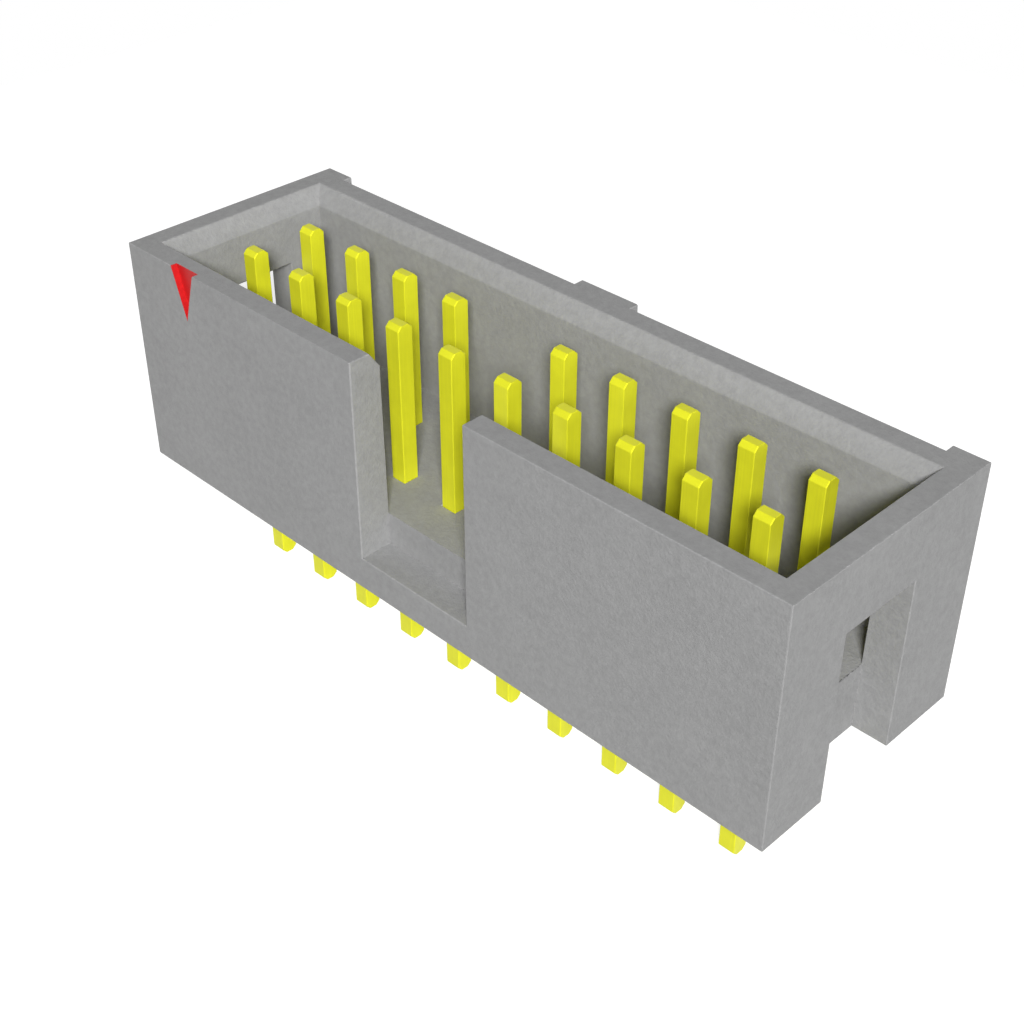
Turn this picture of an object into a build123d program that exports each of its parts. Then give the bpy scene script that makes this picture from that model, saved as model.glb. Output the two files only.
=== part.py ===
from build123d import *
import os

# Two-row box header for a 2.54 mm grid: a one-piece moulded shroud with straight square posts
# pressed through its floor. All sizes are in millimetres.
#
# Frame: the origin is the centre of the post pattern on the housing's underside, which is the
# face that meets the circuit board. +Z points out of the open mouth, X runs along the rows,
# and -Y is the front, with the key notch and the pin one mark.

# Post pattern. Positions count from the mark: odd numbers in the front row, even in the back.
pitch = 2.54
row_spacing = 2.54
columns = 10
rows = 2
vacant_position = 10

# Posts.
post_side = 0.635
post_recess = 0.26  # from the housing's rim down to the post tips
tail_length = 4.56  # below the housing's underside
tip_bevel_run = 0.16  # across the post, on its front and back faces only
tip_bevel_rise = 0.16  # along the post

# Housing walls.
housing_height = 8.89
floor_thickness = 2.54
side_wall = 1.27
end_wall = 1.27
post_to_side_wall = 1.905  # centre of the outer posts to the cavity's face
post_to_end_wall = 1.905

# Lead-in bevel round the inside of the rim.
lead_in_run = 0.45
lead_in_rise = 0.635

# Key notch in the front wall, open at the rim. Its sill lies below the cavity floor.
key_notch_width = 5.08
key_sill_height = 1.27

# Slots in the end walls, open at the underside, with a bridge of wall left above them.
end_slot_width = 3.3
end_slot_bridge = 2.54

# Ribs up the outside of the back wall.
rib_depth = 0.38
middle_rib_width = 2.54
end_rib_width = 1.27

# Pin one mark: a painted triangular pocket in the front face, pointing down from the rim.
mark_width = 1.24
mark_height = 1.96
mark_depth = 0.23  # from the front face to the painted back of the pocket
paint_thickness = 0.03

# Sizes and places that follow from the values above.
cavity_length = (columns - 1) * pitch + 2 * post_to_end_wall
cavity_width = (rows - 1) * row_spacing + 2 * post_to_side_wall
housing_length = cavity_length + 2 * end_wall
housing_width = cavity_width + 2 * side_wall
first_column_x = -(columns - 1) * pitch / 2
first_row_y = -(rows - 1) * row_spacing / 2
post_top = housing_height - post_recess


def pocket_triangle(half_width, height):
    """Corners of the mark's triangle in the XZ plane, with its base on the rim."""
    return (
        (first_column_x - half_width, housing_height),
        (first_column_x, housing_height - height),
        (first_column_x + half_width, housing_height),
    )


# The paint follows the pocket's two slopes, so its inner triangle is the outer one moved in by
# the paint's thickness, square to each slope.
mark_slope = ((mark_width / 2) ** 2 + mark_height**2) ** 0.5
pocket_outline = pocket_triangle(mark_width / 2, mark_height)
paint_outline = pocket_triangle(
    mark_width / 2 - paint_thickness * mark_slope / mark_height,
    mark_height - paint_thickness * mark_slope / (mark_width / 2),
)
paint_face = housing_width / 2 - mark_depth
pocket_back = paint_face - paint_thickness


with BuildPart() as housing:
    # Solid block, which the cavity and the openings are cut from.
    with BuildSketch():
        Rectangle(housing_length, housing_width)
    extrude(amount=housing_height)

    # Three ribs up the back wall, the outer two flush with the ends.
    with BuildSketch():
        with Locations((0, (housing_width + rib_depth) / 2)):
            Rectangle(middle_rib_width, rib_depth)
            with GridLocations(housing_length - end_rib_width, 0, 2, 1):
                Rectangle(end_rib_width, rib_depth)
    extrude(amount=housing_height)

    # Cavity above the floor, for the mating socket.
    with BuildSketch(Plane.XY.offset(floor_thickness)):
        Rectangle(cavity_length, cavity_width)
    extrude(amount=housing_height - floor_thickness, mode=Mode.SUBTRACT)

    # Lead-in, from the cavity's own size out to the mouth at the rim.
    with BuildSketch(Plane.XY.offset(housing_height - lead_in_rise)):
        Rectangle(cavity_length, cavity_width)
    with BuildSketch(Plane.XY.offset(housing_height)):
        Rectangle(cavity_length + 2 * lead_in_run, cavity_width + 2 * lead_in_run)
    loft(mode=Mode.SUBTRACT)

    # Key notch through the front wall.
    with BuildSketch(Plane.XZ.offset(cavity_width / 2)):
        with Locations((0, key_sill_height)):
            Rectangle(key_notch_width, housing_height - key_sill_height, align=(Align.CENTER, Align.MIN))
    extrude(amount=side_wall, mode=Mode.SUBTRACT)

    # A slot through each end wall.
    for slot_start in (-housing_length / 2, cavity_length / 2):
        with BuildSketch(Plane.YZ.offset(slot_start)):
            Rectangle(end_slot_width, housing_height - end_slot_bridge, align=(Align.CENTER, Align.MIN))
        extrude(amount=end_wall, mode=Mode.SUBTRACT)

    # Post holes, one for every position, the vacant one too.
    with BuildSketch():
        with GridLocations(pitch, row_spacing, columns, rows):
            Rectangle(post_side, post_side)
    extrude(amount=floor_thickness, mode=Mode.SUBTRACT)

    # Pocket of the pin one mark.
    with BuildSketch(Plane.XZ.offset(pocket_back)):
        Polygon(*pocket_outline, align=None)
    extrude(amount=mark_depth + paint_thickness, mode=Mode.SUBTRACT)


with BuildPart() as pin_one_mark:
    # Paint over the back and the two slopes of the pocket.
    with BuildSketch(Plane.XZ.offset(pocket_back)):
        Polygon(*pocket_outline, align=None)
    extrude(amount=mark_depth + paint_thickness)
    with BuildSketch(Plane.XZ.offset(paint_face)):
        Polygon(*paint_outline, align=None)
    extrude(amount=mark_depth, mode=Mode.SUBTRACT)


os.makedirs("parts", exist_ok=True)
housing.part.label = "housing"
export_step(housing.part, "parts/housing.step")
pin_one_mark.part.label = "pin_one_mark"
export_step(pin_one_mark.part, "parts/pin_one_mark.step")

# The posts. Each is its side outline, with bevelled tips, extruded to its width along X.
post_face = post_side / 2
tip_flat = post_face - tip_bevel_run
for position in range(1, columns * rows + 1):
    if position != vacant_position:
        column, row = divmod(position - 1, rows)
        outline_plane = Plane(
            origin=(
                first_column_x + column * pitch - post_face,
                first_row_y + row * row_spacing,
                0,
            ),
            x_dir=(0, 1, 0),
            z_dir=(1, 0, 0),
        )
        with BuildPart() as post:
            with BuildSketch(outline_plane):
                Polygon(
                    (-post_face, tip_bevel_rise - tail_length),
                    (-tip_flat, -tail_length),
                    (tip_flat, -tail_length),
                    (post_face, tip_bevel_rise - tail_length),
                    (post_face, post_top - tip_bevel_rise),
                    (tip_flat, post_top),
                    (-tip_flat, post_top),
                    (-post_face, post_top - tip_bevel_rise),
                    align=None,
                )
            extrude(amount=post_side)
        post.part.label = f"pin_{position:02d}"
        export_step(post.part, f"parts/pin_{position:02d}.step")
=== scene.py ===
import math

import bpy
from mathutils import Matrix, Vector


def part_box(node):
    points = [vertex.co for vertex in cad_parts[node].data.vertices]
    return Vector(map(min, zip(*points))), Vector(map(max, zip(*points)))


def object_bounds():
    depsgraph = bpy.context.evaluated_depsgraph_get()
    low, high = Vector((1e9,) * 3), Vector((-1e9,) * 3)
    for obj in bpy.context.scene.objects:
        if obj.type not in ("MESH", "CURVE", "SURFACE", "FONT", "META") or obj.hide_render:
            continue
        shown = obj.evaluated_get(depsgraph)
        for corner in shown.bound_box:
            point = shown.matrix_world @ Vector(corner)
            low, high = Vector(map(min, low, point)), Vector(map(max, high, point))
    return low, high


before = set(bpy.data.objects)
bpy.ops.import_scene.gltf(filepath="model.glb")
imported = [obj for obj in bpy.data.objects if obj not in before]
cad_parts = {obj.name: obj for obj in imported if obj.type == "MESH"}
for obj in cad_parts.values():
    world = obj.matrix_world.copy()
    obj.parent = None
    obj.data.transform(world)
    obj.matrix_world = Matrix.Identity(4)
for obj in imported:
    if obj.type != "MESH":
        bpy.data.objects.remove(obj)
cad_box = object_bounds()
centre = (cad_box[0] + cad_box[1]) / 2
MM = 0.001

# The camera looks at the centre of the part along a cube's diagonal.
VIEW_DIRECTION = Vector((1.0, -1.0, 1.0)).normalized()
CAMERA_DISTANCE = 55.55 * MM
CAMERA_LENS = 56.95
SENSOR_WIDTH = 36.0
CLIP_START = 1.0 * MM
CLIP_END = 5.0

# Edge rounding, of a moulded edge and of a drawn wire's edge. The pocket of the pin one mark
# keeps its sharp edges, up to the margin round it.
HOUSING_EDGE_RADIUS = 0.05 * MM
POST_EDGE_RADIUS = 0.03 * MM
EDGE_SEGMENTS = 3
SHARP_ANGLE = math.radians(20)
WELD_DISTANCE = 0.0005 * MM
POCKET_MARGIN = 0.1 * MM

# Colours as display values, 0 to 255.
HOUSING_GREY = (151, 151, 151)
POST_YELLOW = (225, 225, 45)
MARK_RED = (196, 30, 32)

# Plastic: the sizes of its patterns, and the ranges of tone and roughness that they give.
MOULD_GRAIN = 0.12 * MM
MOULD_GRAIN_HEIGHT = 0.02 * MM
FLOW_MOTTLE = 2.5 * MM
FLOW_MOTTLE_TONE = (0.97, 1.03)
SPECKLE = 0.25 * MM
SPECKLE_TONE = (0.93, 1.07)
PLASTIC_ROUGHNESS = (0.55, 0.68)

# Plated wire: fine lines drawn along it, and larger clouds in the plating.
DRAW_LINE = 0.035 * MM
DRAW_LINE_LENGTH = 3.0 * MM
DRAW_LINE_HEIGHT = 0.0015 * MM
DRAW_LINE_TONE = (0.97, 1.03)
PLATING_CLOUD = 0.8 * MM
PLATING_CLOUD_TONE = (0.96, 1.04)
PLATING_ROUGHNESS = (0.30, 0.42)
PLATING_METALLIC = 0.1

# Marking paint.
PAINT_GRAIN = 0.12 * MM
PAINT_GRAIN_HEIGHT = 0.004 * MM
PAINT_TONE = (0.94, 1.06)
PAINT_ROUGHNESS = (0.38, 0.5)

# Plastic and paint reflect less than the shader's usual 0.5.
SOFT_SPECULAR = 0.3

# Most of a noise lies in the middle of 0 to 1, so that middle is what a range is spread over.
ZERO_TO_ONE = (0, 1)
NOISE_MIDDLE = (0.3, 0.7)
SPECKLE_MIDDLE = (0.35, 0.65)

# The floor. Where the lamps light it, its seen albedo and its lift come to white or a little more.
FLOOR_SIZE = 130 * MM
FLOOR_ALBEDO = 0.2
FLOOR_SEEN_ALBEDO = 0.42
FLOOR_LIFT = 0.79

# The light, with angles in degrees and lengths in metres. The key stands close to the part, near
# the camera's direction, so that it reaches into the cavity.
WHITE = (1.0, 1.0, 1.0, 1.0)
HORIZON_LIGHT = 0.1
KEY_SIZE = (0.022, 0.022)
KEY_LAMP = {"azimuth": 45, "elevation": 33.3, "distance": 0.12, "irradiance": 1.28}
STRIP_SIZE = (0.9, 0.12)
SIDE_LAMP = {"azimuth": 72, "elevation": 5, "distance": 1.2, "irradiance": 0.19}
BACK_LAMP = {"azimuth": 225, "elevation": 3.2, "distance": 1.2, "irradiance": 1.1}


def linear(colour):
    """A 0 to 255 display colour as the linear values that shaders take."""
    shares = [c / 255 for c in colour]
    return [s / 12.92 if s <= 0.04045 else ((s + 0.055) / 1.055) ** 2.4 for s in shares] + [1.0]


def new_material(name):
    """An empty node material with its output and one Principled shader."""
    material = bpy.data.materials.new(name)
    material.use_nodes = True
    tree = material.node_tree
    tree.nodes.clear()
    output = tree.nodes.new("ShaderNodeOutputMaterial")
    shader = tree.nodes.new("ShaderNodeBsdfPrincipled")
    tree.links.new(shader.outputs["BSDF"], output.inputs["Surface"])
    return material, tree, shader


def math_node(tree, operation, *values):
    """The result of a Math node, whose values are numbers or other nodes' outputs."""
    node = tree.nodes.new("ShaderNodeMath")
    node.operation = operation
    for socket, value in zip(node.inputs, values):
        if isinstance(value, bpy.types.NodeSocket):
            tree.links.new(value, socket)
        else:
            socket.default_value = value
    return node.outputs["Value"]


def object_position(tree, stretch=(1.0, 1.0, 1.0)):
    """The place on the part, in metres, with each axis multiplied as stretch says."""
    coordinates = tree.nodes.new("ShaderNodeTexCoord")
    mapping = tree.nodes.new("ShaderNodeMapping")
    mapping.vector_type = "POINT"
    mapping.inputs["Scale"].default_value = stretch
    tree.links.new(coordinates.outputs["Object"], mapping.inputs["Vector"])
    return mapping.outputs["Vector"]


def noise(tree, position, size, detail=2.0, roughness=0.5):
    """Noise with blobs about one size across."""
    texture = tree.nodes.new("ShaderNodeTexNoise")
    texture.inputs["Scale"].default_value = 1.0 / size
    texture.inputs["Detail"].default_value = detail
    texture.inputs["Roughness"].default_value = roughness
    tree.links.new(position, texture.inputs["Vector"])
    return texture.outputs["Fac"]


def spread(tree, value, target, source=NOISE_MIDDLE):
    """A value spread linearly from the source range to the target range, and held within it."""
    ranged = tree.nodes.new("ShaderNodeMapRange")
    ranged.inputs["From Min"].default_value, ranged.inputs["From Max"].default_value = source
    ranged.inputs["To Min"].default_value, ranged.inputs["To Max"].default_value = target
    tree.links.new(value, ranged.inputs["Value"])
    return ranged.outputs["Result"]


def shade(tree, colour, brightness):
    """A colour multiplied by a brightness that varies over the surface."""
    scaled = tree.nodes.new("ShaderNodeVectorMath")
    scaled.operation = "SCALE"
    scaled.inputs[0].default_value = linear(colour)[:3]
    tree.links.new(brightness, scaled.inputs["Scale"])
    return scaled.outputs["Vector"]


def bump(tree, shader, height, depth):
    """Relief of a given depth, in metres."""
    relief = tree.nodes.new("ShaderNodeBump")
    relief.inputs["Strength"].default_value = 1.0
    relief.inputs["Distance"].default_value = depth
    tree.links.new(height, relief.inputs["Height"])
    tree.links.new(relief.outputs["Normal"], shader.inputs["Normal"])


def moulded_plastic():
    """Mid grey thermoplastic with the fine grain of an eroded mould."""
    material, tree, shader = new_material("moulded_grey_plastic")
    place = object_position(tree)
    grain = noise(tree, place, MOULD_GRAIN, detail=3.0, roughness=0.6)
    mottle = noise(tree, place, FLOW_MOTTLE, detail=3.0)
    speckle = noise(tree, place, SPECKLE, detail=4.0, roughness=0.7)
    tone = math_node(
        tree,
        "MULTIPLY",
        spread(tree, mottle, FLOW_MOTTLE_TONE),
        spread(tree, speckle, SPECKLE_TONE, SPECKLE_MIDDLE),
    )
    tree.links.new(shade(tree, HOUSING_GREY, tone), shader.inputs["Base Color"])
    tree.links.new(spread(tree, grain, PLASTIC_ROUGHNESS), shader.inputs["Roughness"])
    shader.inputs["Specular IOR Level"].default_value = SOFT_SPECULAR
    bump(tree, shader, grain, MOULD_GRAIN_HEIGHT)
    return material


def plated_wire():
    """Yellow plating over drawn square wire, with fine lines along the wire."""
    material, tree, shader = new_material("yellow_plated_wire")
    along = DRAW_LINE / DRAW_LINE_LENGTH
    lines = noise(tree, object_position(tree, (1.0, 1.0, along)), DRAW_LINE)
    cloud = noise(tree, object_position(tree), PLATING_CLOUD, detail=3.0)
    tone = math_node(
        tree,
        "MULTIPLY",
        spread(tree, lines, DRAW_LINE_TONE),
        spread(tree, cloud, PLATING_CLOUD_TONE),
    )
    tree.links.new(shade(tree, POST_YELLOW, tone), shader.inputs["Base Color"])
    shader.inputs["Metallic"].default_value = PLATING_METALLIC
    shader.inputs["Specular Tint"].default_value = linear(POST_YELLOW)
    tree.links.new(spread(tree, lines, PLATING_ROUGHNESS), shader.inputs["Roughness"])
    bump(tree, shader, lines, DRAW_LINE_HEIGHT)
    return material


def marking_paint():
    """Red paint, a little uneven, in the mark's pocket."""
    material, tree, shader = new_material("red_marking_paint")
    grain = noise(tree, object_position(tree), PAINT_GRAIN)
    tone = spread(tree, grain, PAINT_TONE)
    tree.links.new(shade(tree, MARK_RED, tone), shader.inputs["Base Color"])
    tree.links.new(spread(tree, grain, PAINT_ROUGHNESS), shader.inputs["Roughness"])
    shader.inputs["Specular IOR Level"].default_value = SOFT_SPECULAR
    bump(tree, shader, grain, PAINT_GRAIN_HEIGHT)
    return material


def edges_to_round():
    """A node group that marks the edges for a Bevel modifier.

    It marks the sharp outer edges, but not those of the mark's pocket."""
    tree = bpy.data.node_groups.new("edges_to_round", "GeometryNodeTree")
    tree.interface.new_socket("Geometry", in_out="INPUT", socket_type="NodeSocketGeometry")
    tree.interface.new_socket("Geometry", in_out="OUTPUT", socket_type="NodeSocketGeometry")
    start = tree.nodes.new("NodeGroupInput")
    end = tree.nodes.new("NodeGroupOutput")

    fold = tree.nodes.new("GeometryNodeInputMeshEdgeAngle")
    outer = math_node(tree, "GREATER_THAN", fold.outputs["Signed Angle"], SHARP_ANGLE)

    # The pocket is open at the front and the top, so the box round it needs no limit there.
    low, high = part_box("pin_one_mark")
    half_width = (high.x - low.x) / 2 + POCKET_MARGIN
    position = tree.nodes.new("GeometryNodeInputPosition")
    place = tree.nodes.new("ShaderNodeSeparateXYZ")
    tree.links.new(position.outputs["Position"], place.inputs["Vector"])
    x, y, z = place.outputs
    across = math_node(tree, "COMPARE", x, (low.x + high.x) / 2, half_width)
    in_front = math_node(tree, "LESS_THAN", y, high.y + POCKET_MARGIN)
    above = math_node(tree, "GREATER_THAN", z, low.z - POCKET_MARGIN)
    in_pocket = math_node(tree, "MULTIPLY", math_node(tree, "MULTIPLY", across, in_front), above)
    weight = math_node(tree, "MULTIPLY", outer, math_node(tree, "SUBTRACT", 1.0, in_pocket))

    store = tree.nodes.new("GeometryNodeStoreNamedAttribute")
    store.data_type = "FLOAT"
    store.domain = "EDGE"
    store.inputs["Name"].default_value = "bevel_weight_edge"
    tree.links.new(start.outputs["Geometry"], store.inputs["Geometry"])
    tree.links.new(weight, store.inputs["Value"])
    tree.links.new(store.outputs["Geometry"], end.inputs["Geometry"])
    return tree


def dress(node, material):
    """Gives a CAD node its finish."""
    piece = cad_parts[node]
    piece.data.materials.clear()
    piece.data.materials.append(material)


def round_edges(node, edges, radius):
    """Rounds the edges of a CAD node that the node group marks."""
    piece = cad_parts[node]
    weld = piece.modifiers.new("weld", "WELD")
    weld.merge_threshold = WELD_DISTANCE
    marking = piece.modifiers.new("edges_to_round", "NODES")
    marking.node_group = edges
    rounding = piece.modifiers.new("edge_rounding", "BEVEL")
    rounding.width = radius
    rounding.segments = EDGE_SEGMENTS
    rounding.limit_method = "WEIGHT"
    rounding.harden_normals = True


def dress_part():
    """Finishes and rounded edges for every node of the part."""
    edges = edges_to_round()
    dress("pin_one_mark", marking_paint())
    dress("housing", moulded_plastic())
    round_edges("housing", edges, HOUSING_EDGE_RADIUS)
    wire = plated_wire()
    for node in sorted(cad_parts):
        if node.startswith("pin_") and node != "pin_one_mark":
            dress(node, wire)
            round_edges(node, edges, POST_EDGE_RADIUS)


def seen_ray(tree):
    """1 for rays that show the background: to the camera, in a gloss or through glass."""
    path = tree.nodes.new("ShaderNodeLightPath")
    camera = path.outputs["Is Camera Ray"]
    glossy = path.outputs["Is Glossy Ray"]
    transmission = path.outputs["Is Transmission Ray"]
    return math_node(tree, "MAXIMUM", math_node(tree, "MAXIMUM", camera, glossy), transmission)


def pale_floor():
    """A matt material that looks white where it is lit, keeps shadows, and is clear from below."""
    material = bpy.data.materials.new("pale_floor")
    material.use_nodes = True
    tree = material.node_tree
    tree.nodes.clear()
    seen = seen_ray(tree)
    albedo = spread(tree, seen, (FLOOR_ALBEDO, FLOOR_SEEN_ALBEDO), ZERO_TO_ONE)
    matt = tree.nodes.new("ShaderNodeBsdfDiffuse")
    tree.links.new(albedo, matt.inputs["Color"])
    lift = tree.nodes.new("ShaderNodeEmission")
    tree.links.new(spread(tree, seen, (0, FLOOR_LIFT), ZERO_TO_ONE), lift.inputs["Strength"])
    top_side = tree.nodes.new("ShaderNodeAddShader")
    tree.links.new(matt.outputs["BSDF"], top_side.inputs[0])
    tree.links.new(lift.outputs["Emission"], top_side.inputs[1])
    side = tree.nodes.new("ShaderNodeNewGeometry")
    clear = tree.nodes.new("ShaderNodeBsdfTransparent")
    both_sides = tree.nodes.new("ShaderNodeMixShader")
    tree.links.new(side.outputs["Backfacing"], both_sides.inputs["Fac"])
    tree.links.new(top_side.outputs["Shader"], both_sides.inputs[1])
    tree.links.new(clear.outputs["BSDF"], both_sides.inputs[2])
    output = tree.nodes.new("ShaderNodeOutputMaterial")
    tree.links.new(both_sides.outputs["Shader"], output.inputs["Surface"])
    return material


def add_floor():
    """The floor that the solder tails stand on."""
    half = FLOOR_SIZE / 2
    low = cad_box[0].z
    mesh = bpy.data.meshes.new("floor")
    corners = [(-half, -half, low), (half, -half, low), (half, half, low), (-half, half, low)]
    mesh.from_pydata(corners, [], [(0, 1, 2, 3)])
    mesh.materials.append(pale_floor())
    floor = bpy.data.objects.new("floor", mesh)
    bpy.context.scene.collection.objects.link(floor)


def add_world():
    """White surroundings. As a light they are brightest at the horizon and fade towards the top."""
    world = bpy.data.worlds.new("studio")
    bpy.context.scene.world = world
    world.use_nodes = True
    tree = world.node_tree
    tree.nodes.clear()
    coordinates = tree.nodes.new("ShaderNodeTexCoord")
    split = tree.nodes.new("ShaderNodeSeparateXYZ")
    tree.links.new(coordinates.outputs["Generated"], split.inputs["Vector"])
    fading = spread(tree, split.outputs["Z"], (HORIZON_LIGHT, 0), ZERO_TO_ONE)
    lighting = tree.nodes.new("ShaderNodeBackground")
    lighting.inputs["Color"].default_value = WHITE
    tree.links.new(fading, lighting.inputs["Strength"])
    background = tree.nodes.new("ShaderNodeBackground")
    background.inputs["Color"].default_value = WHITE
    background.inputs["Strength"].default_value = 1.0
    mix = tree.nodes.new("ShaderNodeMixShader")
    tree.links.new(seen_ray(tree), mix.inputs["Fac"])
    tree.links.new(lighting.outputs["Background"], mix.inputs[1])
    tree.links.new(background.outputs["Background"], mix.inputs[2])
    output = tree.nodes.new("ShaderNodeOutputWorld")
    tree.links.new(mix.outputs["Shader"], output.inputs["Surface"])


def direction(azimuth, elevation):
    """Unit vector towards a place round the part. Azimuth 0 is the front, 90 the +X end."""
    a = math.radians(azimuth)
    e = math.radians(elevation)
    return Vector((math.sin(a) * math.cos(e), -math.cos(a) * math.cos(e), math.sin(e)))


def add_softbox(name, size, azimuth, elevation, distance, irradiance, in_gloss=True):
    """An area lamp that faces the part.

    Its light is the same at every distance. At irradiance 1 a white face that looks at it
    shows white."""
    lamp = bpy.data.lights.new(name, "AREA")
    lamp.shape = "RECTANGLE"
    lamp.size, lamp.size_y = size
    lamp.energy = irradiance * math.pi**2
    lamp.use_nodes = True
    tree = lamp.node_tree
    falloff = tree.nodes.new("ShaderNodeLightFalloff")
    falloff.inputs["Strength"].default_value = 1.0
    tree.links.new(falloff.outputs["Constant"], tree.nodes["Emission"].inputs["Strength"])
    softbox = bpy.data.objects.new(name, lamp)
    softbox.visible_camera = False
    softbox.visible_glossy = in_gloss
    towards = direction(azimuth, elevation)
    softbox.location = centre + towards * distance
    softbox.rotation_mode = "QUATERNION"
    softbox.rotation_quaternion = towards.to_track_quat("Z", "Y")
    bpy.context.scene.collection.objects.link(softbox)


def add_lamps():
    """The close key, and two low strips for the +X end and the back that don't show as gloss."""
    add_softbox("key", KEY_SIZE, **KEY_LAMP)
    add_softbox("side", STRIP_SIZE, **SIDE_LAMP, in_gloss=False)
    add_softbox("back", STRIP_SIZE, **BACK_LAMP, in_gloss=False)


def add_camera():
    """The camera of the photograph."""
    camera = bpy.data.cameras.new("camera")
    camera.lens = CAMERA_LENS
    camera.sensor_width = SENSOR_WIDTH
    camera.clip_start = CLIP_START
    camera.clip_end = CLIP_END
    holder = bpy.data.objects.new("camera", camera)
    holder.location = centre + VIEW_DIRECTION * CAMERA_DISTANCE
    holder.rotation_mode = "QUATERNION"
    holder.rotation_quaternion = VIEW_DIRECTION.to_track_quat("Z", "Y")
    bpy.context.scene.collection.objects.link(holder)
    bpy.context.scene.camera = holder


dress_part()
add_floor()
add_world()
add_lamps()
add_camera()

bpy.context.scene.view_settings.view_transform = "Standard"
